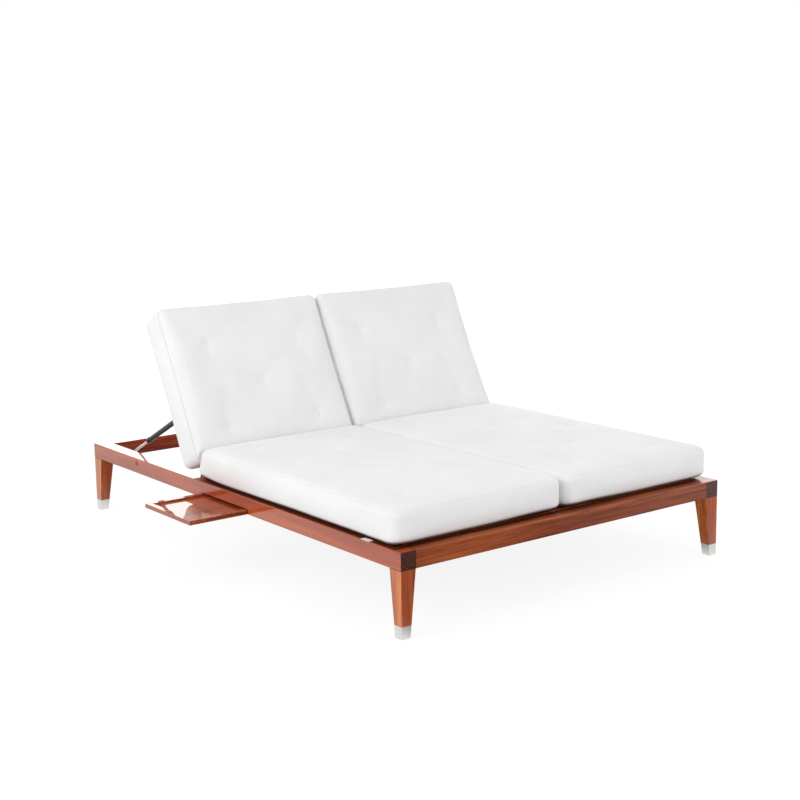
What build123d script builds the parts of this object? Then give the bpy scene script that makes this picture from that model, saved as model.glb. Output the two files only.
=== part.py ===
"""Double chaise lounger: a low hardwood frame with two tufted loungers side by side.

The frame stands on four tapered legs with metal ferrules. Each lounger has its own backrest,
hinged at its lower end and held by a gas strut, and each side of the frame has a slide-out tray.
Lengths are in millimetres. X runs across, Y from the foot end to the head end, Z is up, and the
origin lies on the floor under the middle of the frame. Paired pieces are made on the left, at
negative X, and mirrored to the right.
"""

import os
from math import atan2, cos, degrees, hypot, radians, sin, sqrt

from build123d import *

os.makedirs("parts", exist_ok=True)

# Outer frame
frame_length = 2030.0
frame_width = 1400.0
frame_height = 270.0
rail_width = 58.0
rail_height = 58.0
edge_ease = 1.5
tenon_length = 20.0
tenon_width = 20.0
tenon_height = 36.0

# Legs, ferrules and the bolts that hold the legs to the side rails
leg_top = 56.0
leg_foot = 33.0
ferrule_height = 40.0
ferrule_wall = 1.6
ferrule_floor = 2.0
bolt_radius = 5.0
bolt_in_leg = 60.0
bolt_in_rail = 38.0
bolt_clearance = 0.1

# Centre rail and the cross rails that carry the hinges
centre_rail_width = 44.0
centre_tenon_width = 16.0
centre_tenon_height = 24.0
hinge_rail_width = 43.0
hinge_rail_gap = 20.0

# Seat platform
slat_thickness = 18.0
slat_width = 85.0
slat_count = 11
slat_ease = 2.0
slat_end_gap = 2.0
foot_gap = 8.0
cleat_width = 22.0
cleat_height = 20.0

# Trays that slide out through a notch in the lower edge of each side rail
tray_from_head = 1015.0
tray_length = 312.0
tray_depth = 330.0
tray_thickness = 15.0
tray_out = 225.0
tray_rise = 1.5
tray_lip = 19.0
tray_inner_lip = 26.0
tray_panel_thickness = 8.0
tray_rebate = 5.0
tray_side_gap = 1.5
tray_top_gap = 2.5
panel_clearance = 0.2
groove_height = 5.0
groove_depth = 6.0
groove_margin = 4.0
tongue_clearance = 0.3
guide_width = 20.0
guide_end_gap = 4.0
stop_length = 40.0
stop_width = 20.0
stop_height = 12.0
stop_clearance = 0.5

# Backrest position: the slope at rest and the hinge axis under the lower end
back_angle = 63.1
hinge_from_head = 716.0
hinge_drop = 17.0
back_rise = 1.0

# Backrest frames
back_frame_start = 12.0
back_frame_end = 590.0
stile_width = 45.0
back_rail_width = 45.0
back_thickness = 28.0
back_inner_gap = 4.0
strut_lane = 39.0
back_tenon = 15.0
back_tenon_thickness = 10.0
back_tenon_margin = 6.0
back_slat_count = 5
back_slat_width = 62.0
back_slat_thickness = 14.0
housing_depth = 10.0
stile_bevel = 6.0

# Hinges
hinge_length = 80.0
hinge_inset = 130.0
knuckle_radius = 5.0
knuckle_share = 0.34
knuckle_gap = 0.3
hinge_pin_radius = 3.0
running_clearance = 0.05
leaf_thickness = 2.5
leaf_height = 22.0
leaf_web = 4.0

# Gas struts
strut_pin_from_rail = 85.0
strut_pin_drop = 39.0
strut_top_along = 237.0
strut_top_depth = 20.0
rod_radius = 4.5
cylinder_radius = 10.5
cylinder_wall = 2.0
cylinder_length = 290.0
cylinder_end = 15.0
collar_radius = 12.0
collar_length = 14.0
eye_radius = 9.0
eye_width = 10.0
eye_to_cylinder = 25.0
neck_radius = 5.5
piston_length = 12.0
piston_start = 20.0
strut_pin_radius = 4.0
shoulder_radius = 7.0
shoulder_gap = 0.3
bracket_thickness = 3.0
bracket_length = 40.0
bracket_height = 28.0
pin_head = 4.0

# Cushions
cushion_side_gap = 4.0
cushion_middle_gap = 10.0
seat_cushion_foot = 32.0
seat_cushion_to_hinge = 119.0
seat_head_slant = 0.4
seat_cushion_edge = 112.0
seat_cushion_crown = 20.0
back_cushion_start = 19.0
back_cushion_end = 598.0
back_cushion_edge = 140.0
back_cushion_crown = 10.0
cushion_round = 24.0
back_low_round = 64.0
cushion_corner = 38.0
cushion_draw = 5.0
crown_reach = 190.0

# Tufts and their buttons
tuft_radius = 36.0
tuft_floor = 13.0
tuft_depth = 8.0
tuft_sides = 10
seat_tuft_rows = 5
back_tuft_rows = 3
button_radius = 12.0
button_crown = 8.0
button_rim = 2.5
button_dome = 2.0
seat_tuft_from_side = 141.5
seat_tuft_from_foot = 139.0
seat_tuft_from_head = 184.0
back_tuft_from_side = 150.5
back_tuft_from_low = 105.5
back_tuft_from_top = 154.5

# Fabric tab under the left seat cushion
tab_length = 42.0
tab_width = 19.0
tab_thickness = 0.8
tab_from_foot = 160.0

overrun = 1.0

# Places worked out from the sizes above
outer_x = frame_width / 2
inner_x = outer_x - rail_width
end_y = frame_length / 2
inner_y = end_y - rail_width
rail_bottom = frame_height - rail_height
rail_middle = frame_height - rail_height / 2
slat_bottom = frame_height - slat_thickness
cleat_bottom = slat_bottom - cleat_height
centre_x = centre_rail_width / 2
centre_tenon_low = (rail_bottom + slat_bottom - centre_tenon_height) / 2
hinge_y = end_y - hinge_from_head
hinge_rail_end = hinge_y - hinge_rail_gap
hinge_rail_start = hinge_rail_end - hinge_rail_width
slat_start = foot_gap - inner_y
slat_pitch = (hinge_rail_start - slat_start - slat_width) / (slat_count - 1)
tray_y = end_y - tray_from_head
tray_bottom = rail_bottom + tray_rise
tray_top = tray_bottom + tray_thickness
tray_middle = tray_bottom + tray_thickness / 2
tray_outer_x = -outer_x - tray_out
tray_inner_x = tray_outer_x + tray_depth
guide_inner_x = tray_inner_x + tray_out + guide_end_gap
notch_height = tray_rise + tray_thickness + tray_top_gap
notch_length = tray_length + 2 * tray_side_gap

# The backrest's own plane: X across, Y up the slope, Z out of its front, which carries the cushion
hinge_z = frame_height + back_rise - hinge_drop
slope_along = (0, cos(radians(back_angle)), sin(radians(back_angle)))
slope_out = (0, -sin(radians(back_angle)), cos(radians(back_angle)))
back_origin_y = hinge_y + hinge_drop * slope_out[1]
back_origin_z = hinge_z + hinge_drop * slope_out[2]
back_plane = Plane(origin=(0, back_origin_y, back_origin_z), x_dir=(1, 0, 0), z_dir=slope_out)
back_outer_x = inner_x - strut_lane
back_inner_x = centre_x + back_inner_gap
back_tenon_low = back_slat_thickness + (back_thickness - back_slat_thickness - back_tenon_thickness) / 2
back_tenon_high = back_tenon_low + back_tenon_thickness

# The strut's axis at rest, from its lower pin on the side rail to its eye behind the backrest
strut_x = -(inner_x + back_outer_x) / 2
strut_pin_y = inner_y - strut_pin_from_rail
strut_pin_z = frame_height - strut_pin_drop
strut_top_y = back_origin_y + strut_top_along * slope_along[1] - strut_top_depth * slope_out[1]
strut_top_z = back_origin_z + strut_top_along * slope_along[2] - strut_top_depth * slope_out[2]
strut_rise = strut_top_z - strut_pin_z
strut_run = strut_top_y - strut_pin_y
strut_length = hypot(strut_run, strut_rise)
strut_direction = (0, strut_run / strut_length, strut_rise / strut_length)
strut_plane = Plane(origin=(strut_x, strut_pin_y, strut_pin_z), x_dir=(1, 0, 0), z_dir=strut_direction)
cylinder_start = strut_length - eye_to_cylinder - cylinder_length


def keep(piece, name):
    """Label a finished piece and write it to its own file."""
    piece.part.label = name
    export_step(piece.part, f"parts/{name}.step")


def keep_pair(piece, name):
    """Write a left piece and its mirror image on the right."""
    with BuildPart() as twin:
        mirror(piece.part, about=Plane.YZ)
    keep(piece, f"left_{name}")
    keep(twin, f"right_{name}")


def block(low, high, mode=Mode.ADD):
    """A box between two corners, drawn on its lowest level."""
    with BuildSketch(Plane.XY.offset(low[2])) as plan:
        with Locations(((low[0] + high[0]) / 2, (low[1] + high[1]) / 2)):
            Rectangle(high[0] - low[0], high[1] - low[1])
    extrude(plan.sketch, amount=high[2] - low[2], mode=mode)


def slope_block(low, high, mode=Mode.ADD):
    """A box between two corners of the backrest's own plane."""
    with BuildSketch(back_plane.offset(low[2])) as plan:
        with Locations(((low[0] + high[0]) / 2, (low[1] + high[1]) / 2)):
            Rectangle(high[0] - low[0], high[1] - low[1])
    extrude(plan.sketch, amount=high[2] - low[2], mode=mode)


def flat_loft(sections, mode=Mode.ADD):
    """A loft through many-sided sections, with a true plane for each of its sides."""
    skin = loft(sections, ruled=True, mode=Mode.PRIVATE)
    add(Solid(Shell([Face(side.outer_wire()) for side in skin.faces()])), mode=mode)


def side_rail():
    """Full-length rail with the tray's notch, the end mortises and the leg bolt holes."""
    with BuildPart() as rail:
        block((-outer_x, -end_y, rail_bottom), (-inner_x, end_y, frame_height))
        chamfer(rail.edges().filter_by(Axis.Y), length=edge_ease)
        notch = notch_length / 2
        block((-outer_x - overrun, tray_y - notch, rail_bottom - overrun),
              (-inner_x + overrun, tray_y + notch, rail_bottom + notch_height), Mode.SUBTRACT)
        tenon_y = end_y - rail_width / 2
        for end in (-1, 1):
            block((-inner_x - tenon_length, end * tenon_y - tenon_width / 2, rail_middle - tenon_height / 2),
                  (-inner_x + overrun, end * tenon_y + tenon_width / 2, rail_middle + tenon_height / 2),
                  Mode.SUBTRACT)
            with BuildSketch(Plane.XY.offset(rail_bottom - overrun)):
                with Locations((-outer_x + leg_top / 2, end * (end_y - leg_top / 2))):
                    Circle(bolt_radius + bolt_clearance)
            extrude(amount=bolt_in_rail + overrun, mode=Mode.SUBTRACT)
    keep_pair(rail, "side_rail")


def end_rail(name, end):
    """Foot or head rail, tenoned into the side rails, with a mortise for the centre rail."""
    low_y = min(end * inner_y, end * end_y)
    middle_y = low_y + rail_width / 2
    mortise_tip = end * (inner_y + tenon_length)
    mortise_mouth = end * (inner_y - overrun)
    with BuildPart() as rail:
        block((-inner_x, low_y, rail_bottom), (inner_x, low_y + rail_width, frame_height))
        chamfer(rail.edges().filter_by(Axis.X), length=edge_ease)
        block((-inner_x - tenon_length, middle_y - tenon_width / 2, rail_middle - tenon_height / 2),
              (inner_x + tenon_length, middle_y + tenon_width / 2, rail_middle + tenon_height / 2))
        block((-centre_tenon_width / 2, min(mortise_tip, mortise_mouth), centre_tenon_low),
              (centre_tenon_width / 2, max(mortise_tip, mortise_mouth),
               centre_tenon_low + centre_tenon_height), Mode.SUBTRACT)
    keep(rail, name)


def centre_rail():
    """Lengthwise rail under the middle, tenoned into the foot and head rails."""
    with BuildPart() as rail:
        block((-centre_x, -inner_y, rail_bottom), (centre_x, inner_y, slat_bottom))
        block((-centre_tenon_width / 2, -inner_y - tenon_length, centre_tenon_low),
              (centre_tenon_width / 2, inner_y + tenon_length, centre_tenon_low + centre_tenon_height))
    keep(rail, "centre_rail")


def hinge_rail():
    """Short cross rail that carries the hinges of one backrest."""
    with BuildPart() as rail:
        block((-inner_x, hinge_rail_start, rail_bottom), (-centre_x, hinge_rail_end, slat_bottom))
    keep_pair(rail, "hinge_rail")


def leg_side(height):
    """Width of the tapered leg at a height above the floor."""
    return leg_foot + (leg_top - leg_foot) * height / rail_bottom


def post(side_x, side_y, low, high, inset, mode=Mode.ADD):
    """A tapered square post whose two outer faces stay upright, flush with the frame's corner."""
    ends = []
    for height in (low, high):
        side = leg_side(height)
        with BuildSketch(Plane.XY.offset(height)) as end:
            with Locations((side_x * (outer_x - side / 2), side_y * (end_y - side / 2))):
                Rectangle(side - 2 * inset, side - 2 * inset)
        ends.append(end.sketch)
    flat_loft(ends, mode)


def leg(name, side_x, side_y):
    """Tapered leg with a bolt hole in its top and a reduced lower end inside its ferrule."""
    with BuildPart() as wood:
        post(side_x, side_y, ferrule_height, rail_bottom, 0)
        post(side_x, side_y, ferrule_floor, ferrule_height, ferrule_wall)
        with BuildSketch(Plane.XY.offset(rail_bottom + overrun)):
            with Locations((side_x * (outer_x - leg_top / 2), side_y * (end_y - leg_top / 2))):
                Circle(bolt_radius + bolt_clearance)
        extrude(amount=-bolt_in_leg - overrun, mode=Mode.SUBTRACT)
    keep(wood, f"{name}_leg")
    with BuildPart() as cup:
        post(side_x, side_y, 0, ferrule_height, 0)
        post(side_x, side_y, ferrule_floor, ferrule_height, ferrule_wall, Mode.SUBTRACT)
    keep(cup, f"{name}_ferrule")


def leg_bolts():
    """Four threaded bolts, half in the legs and half in the side rails."""
    with BuildPart() as bolts:
        with BuildSketch(Plane.XY.offset(rail_bottom - bolt_in_leg)):
            with GridLocations(frame_width - leg_top, frame_length - leg_top, 2, 2):
                Circle(bolt_radius)
        extrude(amount=bolt_in_leg + bolt_in_rail)
    keep(bolts, "leg_bolts")


def seat_platform():
    """Cross slats on side cleats and the centre rail."""
    with BuildPart() as slats:
        for number in range(slat_count):
            start = slat_start + number * slat_pitch
            block((-inner_x + slat_end_gap, start, slat_bottom),
                  (inner_x - slat_end_gap, start + slat_width, frame_height))
        chamfer(slats.edges().filter_by(Axis.X).group_by(Axis.Z)[-1], length=slat_ease)
    keep(slats, "seat_slats")
    with BuildPart() as cleat:
        block((-inner_x, -inner_y, cleat_bottom), (-inner_x + cleat_width, hinge_rail_start, slat_bottom))
        mirror(about=Plane.YZ)
    keep(cleat, "seat_cleats")


def tray_guides():
    """Two grooved-in guides and a back stop that carry one tray under the platform."""
    groove_floor = tray_length / 2 - groove_depth
    guide_face = notch_length / 2
    tongue_half = groove_height / 2 - tongue_clearance
    tongue_start = -inner_x + groove_margin + stop_clearance
    with BuildPart() as guides:
        for end in (-1, 1):
            face = tray_y + end * guide_face
            back = tray_y + end * (guide_face + guide_width)
            tip = tray_y + end * (groove_floor + tongue_clearance)
            block((-inner_x, min(face, back), tray_bottom), (guide_inner_x, max(face, back), cleat_bottom))
            block((tongue_start, min(tip, back), tray_middle - tongue_half),
                  (guide_inner_x, max(tip, back), tray_middle + tongue_half))
    keep_pair(guides, "tray_guides")
    reach = guide_face + guide_width
    with BuildPart() as stop:
        block((guide_inner_x, tray_y - reach, tray_bottom),
              (guide_inner_x + guide_width, tray_y + reach, slat_bottom))
        mirror(about=Plane.YZ)
    keep(stop, "tray_back_stops")


def tray():
    """A lipped frame round a sunk panel, with a stopped groove along each side."""
    low_y = tray_y - tray_length / 2
    high_y = tray_y + tray_length / 2
    panel_top = tray_bottom + tray_panel_thickness
    groove_start = tray_outer_x + rail_width + groove_margin
    panel_edge = tray_lip - tray_rebate
    panel_inner = tray_inner_x - tray_inner_lip + tray_rebate
    with BuildPart() as frame:
        block((tray_outer_x, low_y, tray_bottom), (tray_inner_x, high_y, tray_top))
        block((tray_outer_x + tray_lip, low_y + tray_lip, panel_top - overrun),
              (tray_inner_x - tray_inner_lip, high_y - tray_lip, tray_top + overrun), Mode.SUBTRACT)
        block((tray_outer_x + panel_edge, low_y + panel_edge, tray_bottom - overrun),
              (panel_inner, high_y - panel_edge, panel_top), Mode.SUBTRACT)
        for near, far in ((low_y + groove_depth, low_y - overrun), (high_y - groove_depth, high_y + overrun)):
            block((groove_start, min(near, far), tray_middle - groove_height / 2),
                  (tray_inner_x + overrun, max(near, far), tray_middle + groove_height / 2), Mode.SUBTRACT)
    keep_pair(frame, "tray_frame")
    edge = panel_edge + panel_clearance
    with BuildPart() as panel:
        block((tray_outer_x + edge, low_y + edge, tray_bottom),
              (panel_inner - panel_clearance, high_y - edge, panel_top))
    keep_pair(panel, "tray_panel")
    stop_start = -inner_x + cleat_width + stop_clearance
    with BuildPart() as stop:
        block((stop_start, tray_y - stop_length / 2, tray_top),
              (stop_start + stop_width, tray_y + stop_length / 2, tray_top + stop_height))
    keep_pair(stop, "tray_stop")


def back_slat_places():
    """Lower edges of the backrest slats, evenly spaced between its two rails."""
    low = back_frame_start + back_rail_width
    high = back_frame_end - back_rail_width
    gap = (high - low - back_slat_count * back_slat_width) / (back_slat_count + 1)
    return [low + gap + number * (back_slat_width + gap) for number in range(back_slat_count)]


def back_stile(name, low_x, high_x, inward):
    """Upright of the backrest with mortises for the rails and housings for the slats."""
    face = high_x if inward > 0 else low_x
    with BuildPart() as stile:
        slope_block((low_x, back_frame_start, -back_thickness), (high_x, back_frame_end, 0))
        chamfer(stile.edges().filter_by(Axis.X), length=stile_bevel)
        for low in (back_frame_start, back_frame_end - back_rail_width):
            tip = face - inward * back_tenon
            out = face + inward * overrun
            slope_block((min(tip, out), low + back_tenon_margin, -back_tenon_high),
                        (max(tip, out), low + back_rail_width - back_tenon_margin, -back_tenon_low),
                        Mode.SUBTRACT)
        for low in back_slat_places():
            tip = face - inward * housing_depth
            out = face + inward * overrun
            slope_block((min(tip, out), low, -back_slat_thickness),
                        (max(tip, out), low + back_slat_width, overrun), Mode.SUBTRACT)
    keep_pair(stile, name)


def back_frame():
    """Stiles, rails and slats of one backrest."""
    stile_in = -back_outer_x + stile_width
    stile_mid = -back_inner_x - stile_width
    back_stile("back_outer_stile", -back_outer_x, stile_in, 1)
    back_stile("back_inner_stile", stile_mid, -back_inner_x, -1)
    for name, low in (("back_bottom_rail", back_frame_start),
                      ("back_top_rail", back_frame_end - back_rail_width)):
        with BuildPart() as rail:
            slope_block((stile_in, low, -back_thickness), (stile_mid, low + back_rail_width, 0))
            slope_block((stile_in - back_tenon, low + back_tenon_margin, -back_tenon_high),
                        (stile_mid + back_tenon, low + back_rail_width - back_tenon_margin,
                         -back_tenon_low))
        keep_pair(rail, name)
    with BuildPart() as slats:
        for low in back_slat_places():
            slope_block((stile_in - housing_depth, low, -back_slat_thickness),
                        (stile_mid + housing_depth, low + back_slat_width, 0))
    keep_pair(slats, "back_slats")


def hinge_places():
    """Middle of each hinge along X."""
    return [-back_outer_x + hinge_inset, -back_inner_x - hinge_inset]


def knuckle_spans(middle, moving):
    """Stretches of the hinge's barrel that belong to its moving or its fixed leaf."""
    half = hinge_length / 2
    inner = hinge_length * knuckle_share / 2
    if moving:
        return [(middle - inner, middle + inner)]
    return [(middle - half, middle - inner - knuckle_gap), (middle + inner + knuckle_gap, middle + half)]


def barrel(start, length, radius, mode=Mode.ADD):
    """A round stretch of a hinge along its axis."""
    disc(start, hinge_y, hinge_z, radius, length, mode)


def hinges():
    """Butt hinges: a leaf on the cross rail, a leaf on the backrest's lower rail, and a flush pin."""
    half = hinge_length / 2
    bore = hinge_pin_radius + running_clearance
    web_low = hinge_z - leaf_web / 2
    web_high = hinge_z + leaf_web / 2
    with BuildPart() as fixed:
        for middle in hinge_places():
            block((middle - half, hinge_rail_end, slat_bottom - leaf_height),
                  (middle + half, hinge_rail_end + leaf_thickness, web_high))
            for low, high in knuckle_spans(middle, False):
                block((low, hinge_rail_end, web_low), (high, hinge_y, web_high))
                barrel(low, high - low, knuckle_radius)
            barrel(middle - half - overrun, hinge_length + 2 * overrun, bore, Mode.SUBTRACT)
    keep_pair(fixed, "hinge_fixed_leaves")
    with BuildPart() as moving:
        for middle in hinge_places():
            slope_block((middle - half, back_frame_start - leaf_thickness, -hinge_drop - leaf_height / 2),
                        (middle + half, back_frame_start, -hinge_drop + leaf_height / 2))
            for low, high in knuckle_spans(middle, True):
                slope_block((low, 0, -hinge_drop - leaf_web / 2),
                            (high, back_frame_start, -hinge_drop + leaf_web / 2))
                barrel(low, high - low, knuckle_radius)
            barrel(middle - half - overrun, hinge_length + 2 * overrun, bore, Mode.SUBTRACT)
    keep_pair(moving, "hinge_moving_leaves")
    with BuildPart() as pins:
        for middle in hinge_places():
            barrel(middle - half, hinge_length, hinge_pin_radius)
    keep_pair(pins, "hinge_pins")


def disc(x, y, z, radius, width, mode=Mode.ADD):
    """A round piece across the lounger, starting at x."""
    with BuildSketch(Plane.YZ.offset(x)) as plan:
        with Locations((y, z)):
            Circle(radius)
    extrude(plan.sketch, amount=width, mode=mode)


def strut_stage(start, length, radius, mode=Mode.ADD):
    """A round stage of the strut, measured from its lower pin along its axis."""
    with BuildSketch(strut_plane.offset(start)) as plan:
        Circle(radius)
    extrude(plan.sketch, amount=length, mode=mode)


def gas_strut():
    """Rod and cylinder of one gas strut: the rod pivots on the side rail's pin."""
    bore = strut_pin_radius + running_clearance
    cavity = cylinder_radius - cylinder_wall
    piston_top = cylinder_start + cylinder_end + piston_start
    with BuildPart() as rod:
        strut_stage(0, piston_top, rod_radius)
        strut_stage(piston_top - piston_length, piston_length, cavity - running_clearance)
        disc(strut_x - eye_width / 2, strut_pin_y, strut_pin_z, eye_radius, eye_width)
        disc(strut_x - eye_width, strut_pin_y, strut_pin_z, bore, 2 * eye_width, Mode.SUBTRACT)
    keep_pair(rod, "strut_rod")
    with BuildPart() as cylinder:
        strut_stage(cylinder_start, cylinder_length, cylinder_radius)
        strut_stage(cylinder_start, collar_length, collar_radius)
        strut_stage(cylinder_start + cylinder_length, eye_to_cylinder, neck_radius)
        disc(strut_x - eye_width / 2, strut_top_y, strut_top_z, eye_radius, eye_width)
        strut_stage(cylinder_start + cylinder_end, cylinder_length - 2 * cylinder_end, cavity, Mode.SUBTRACT)
        strut_stage(cylinder_start - overrun, cylinder_end + 2 * overrun,
                    rod_radius + running_clearance, Mode.SUBTRACT)
        disc(strut_x - eye_width / 2 - pin_head, strut_top_y, strut_top_z, shoulder_radius, pin_head)
        pin_start = strut_x + eye_width / 2
        pin_tip = -back_outer_x - bracket_thickness - shoulder_gap
        disc(pin_start, strut_top_y, strut_top_z, strut_pin_radius, pin_tip - pin_start)
    keep_pair(cylinder, "strut_cylinder")


def strut_brackets():
    """Lower bracket with its pivot pin, and the plate that faces the cylinder's upper pin."""
    with BuildPart() as lower:
        block((-inner_x, strut_pin_y - bracket_length / 2, strut_pin_z - bracket_height / 2),
              (-inner_x + bracket_thickness, strut_pin_y + bracket_length / 2,
               strut_pin_z + bracket_height / 2))
        plate_x = -inner_x + bracket_thickness
        eye_low = strut_x - eye_width / 2
        eye_high = strut_x + eye_width / 2
        disc(plate_x, strut_pin_y, strut_pin_z, shoulder_radius, eye_low - shoulder_gap - plate_x)
        disc(plate_x, strut_pin_y, strut_pin_z, strut_pin_radius, eye_high + shoulder_gap - plate_x)
        disc(eye_high + shoulder_gap, strut_pin_y, strut_pin_z, shoulder_radius, pin_head)
    keep_pair(lower, "strut_lower_bracket")
    with BuildPart() as upper:
        middle_depth = back_thickness / 2
        slope_block((-back_outer_x - bracket_thickness, strut_top_along - bracket_length / 2,
                     -middle_depth - bracket_height / 2),
                    (-back_outer_x, strut_top_along + bracket_length / 2, -middle_depth + bracket_height / 2))
    keep_pair(upper, "strut_upper_bracket")


def arc_inset(height, radius):
    """How far a quarter-round edge of a radius stands back at a height above its foot."""
    if height >= radius:
        return 0.0
    return radius - sqrt(radius * radius - (radius - height) ** 2)


def quarter_outline(half_width, half_length, draw_shares):
    """A quarter of a cushion's outline, from the middle of its far side round to its right side."""
    dip = draw_shares[0] * half_width
    side_dip = draw_shares[1] * half_length
    bend_dip_share = 1 - bend_share ** 2
    fall = dip * bend_dip_share / (half_width - bend_share * half_width) * cushion_corner
    side_fall = side_dip * bend_dip_share / (half_length - bend_share * half_length) * cushion_corner
    points = [(0, half_length - dip), (bend_share * half_width, half_length - dip * bend_dip_share),
              (half_width - cushion_corner, half_length - fall)]
    for share in corner_turn_shares:
        turn = radians(90 * share)
        points.append((half_width - cushion_corner * (1 - sin(turn)),
                       half_length - cushion_corner * (1 - cos(turn))))
    return points + [(half_width - side_fall, half_length - cushion_corner),
                     (half_width - side_dip * bend_dip_share, bend_share * half_length),
                     (half_width - side_dip, 0)]


def cushion_outline(plane, x_low, x_high, y_low, y_high, draw_shares):
    """A many-sided oblong with rounded corners, whose four sides draw in between the corners."""
    quarter = quarter_outline((x_high - x_low) / 2, (y_high - y_low) / 2, draw_shares)
    points = quarter[:-1]
    points += [(x, -y) for x, y in quarter[:0:-1]]
    points += [(-x, -y) for x, y in quarter[:-1]]
    points += [(-x, y) for x, y in quarter[:0:-1]]
    with BuildSketch(plane) as outline:
        with Locations(((x_low + x_high) / 2, (y_low + y_high) / 2)):
            Polygon(*points, align=None)
    return outline.sketch


# Bends of a drawn-in side and turns of a corner, then the levels of a cushion's edge as shares of
# its rounding, and of its crown as shares of its reach
bend_share = 0.5
corner_turn_shares = (1 / 3, 2 / 3)
edge_level_shares = (0, 0.3, 1)
crown_reach_shares = (0, 0.25, 0.6, 1)


def crown_rise_share(reach_share):
    """Height of the crown, as a share of its full height, at a share of its reach."""
    return sin(radians(90 * reach_share))


def crown_at(away):
    """Height of the crown, as a share of its full height, at a distance in from the side."""
    place = min(max(away - cushion_round, 0) / crown_reach, 1)
    for low, high in zip(crown_reach_shares, crown_reach_shares[1:]):
        if place <= high:
            rise = crown_rise_share(high) - crown_rise_share(low)
            return crown_rise_share(low) + rise * (place - low) / (high - low)


def frustum(plane, x, y, low, low_radius, high, high_radius, mode=Mode.ADD):
    """A many-sided tapered disc between two levels above a plane."""
    ends = []
    for level, radius in ((low, low_radius), (high, high_radius)):
        with BuildSketch(plane.offset(level)) as end:
            with Locations((x, y)):
                RegularPolygon(radius, tuft_sides)
        ends.append(end.sketch)
    flat_loft(ends, mode)


def cushion(plane, sides, edge, crown, low_round, slant, tufts):
    """A stuffed cushion: flat underneath, drawn-in sides, rounded edges, a crown and its tufts."""
    x_low, x_high, y_low, y_high = sides
    draw_shares = (2 * cushion_draw / (x_high - x_low), 2 * cushion_draw / (y_high - y_low))
    levels = {share * cushion_round for share in edge_level_shares}
    levels |= {edge - share * cushion_round for share in edge_level_shares}
    levels |= {edge - share * low_round for share in edge_level_shares}
    sections = []
    for level in sorted(levels):
        inset = arc_inset(level, cushion_round) + arc_inset(edge - level, cushion_round)
        low_inset = arc_inset(level, cushion_round) + arc_inset(edge - level, low_round)
        sections.append(cushion_outline(plane.offset(level), x_low + inset, x_high - inset,
                                        y_low + low_inset, y_high - inset + slant * (edge - level),
                                        draw_shares))
    for share in crown_reach_shares[1:]:
        inset = cushion_round + share * crown_reach
        level = edge + crown * crown_rise_share(share)
        sections.append(cushion_outline(plane.offset(level), x_low + inset, x_high - inset,
                                        y_low + inset + low_round - cushion_round, y_high - inset,
                                        draw_shares))
    with BuildPart() as body:
        flat_loft(sections)
        for x, y, level in tufts:
            frustum(plane, x, y, level - tuft_depth, tuft_floor, level + tuft_depth,
                    2 * tuft_radius - tuft_floor, Mode.SUBTRACT)
    return body


def buttons(plane, tufts):
    """Domed buttons, one seated on the flat floor of each tuft."""
    with BuildPart() as group:
        for x, y, level in tufts:
            floor = level - tuft_depth
            rim = floor + button_rim
            frustum(plane, x, y, floor, button_radius, rim, button_radius)
            frustum(plane, x, y, rim, button_radius, rim + button_dome, button_crown)
    return group


def tuft_places(sides, edge, crown, from_side, from_low, from_high, rows):
    """Tufts in rows of two and one in turn, each with the level of the cushion round it."""
    x_low, x_high, y_low, y_high = sides
    first = y_low + from_low
    pitch = (y_high - from_high - first) / (rows - 1)
    places = []
    for row in range(rows):
        y = first + row * pitch
        pair = (x_low + from_side, x_high - from_side)
        for x in ((x_low + x_high) / 2,) if row % 2 else pair:
            away = min(x - x_low, x_high - x, y - y_low, y_high - y)
            places.append((x, y, edge + crown * crown_at(away)))
    return places


def cushions():
    """Seat and back cushions of one lounger, with their buttons."""
    x_low = -outer_x + cushion_side_gap
    x_high = -cushion_middle_gap / 2
    seat_plane = Plane.XY.offset(frame_height)
    seat_sides = (x_low, x_high, -end_y + seat_cushion_foot, hinge_y - seat_cushion_to_hinge)
    seat_tufts = tuft_places(seat_sides, seat_cushion_edge, seat_cushion_crown, seat_tuft_from_side,
                             seat_tuft_from_foot, seat_tuft_from_head, seat_tuft_rows)
    seat = cushion(seat_plane, seat_sides, seat_cushion_edge, seat_cushion_crown, cushion_round,
                   seat_head_slant, seat_tufts)
    keep_pair(seat, "seat_cushion")
    keep_pair(buttons(seat_plane, seat_tufts), "seat_buttons")
    back_sides = (x_low, x_high, back_cushion_start, back_cushion_end)
    back_tufts = tuft_places(back_sides, back_cushion_edge, back_cushion_crown, back_tuft_from_side,
                             back_tuft_from_low, back_tuft_from_top, back_tuft_rows)
    back = cushion(back_plane, back_sides, back_cushion_edge, back_cushion_crown, back_low_round,
                   0, back_tufts)
    keep_pair(back, "back_cushion")
    keep_pair(buttons(back_plane, back_tufts), "back_buttons")


def cushion_tab():
    """Small fabric tab that shows under the left seat cushion near the foot end."""
    low_y = -end_y + tab_from_foot
    with BuildPart() as tab:
        block((-outer_x, low_y, frame_height), (-outer_x + tab_width, low_y + tab_length,
                                                frame_height + tab_thickness))
    keep(tab, "cushion_tab")


side_rail()
end_rail("foot_rail", -1)
end_rail("head_rail", 1)
centre_rail()
hinge_rail()
for place, across, along in (("foot_left", -1, -1), ("foot_right", 1, -1),
                             ("head_left", -1, 1), ("head_right", 1, 1)):
    leg(place, across, along)
leg_bolts()
seat_platform()
tray_guides()
tray()
back_frame()
hinges()
gas_strut()
strut_brackets()
cushions()
cushion_tab()

print("strut length at rest", round(strut_length, 1), "lower pin", strut_x, strut_pin_y, strut_pin_z)
print("strut direction", [round(value, 5) for value in strut_direction])
print("hinge axis", hinge_y, hinge_z, "strut angle", round(degrees(atan2(strut_rise, strut_run)), 3))
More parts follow.
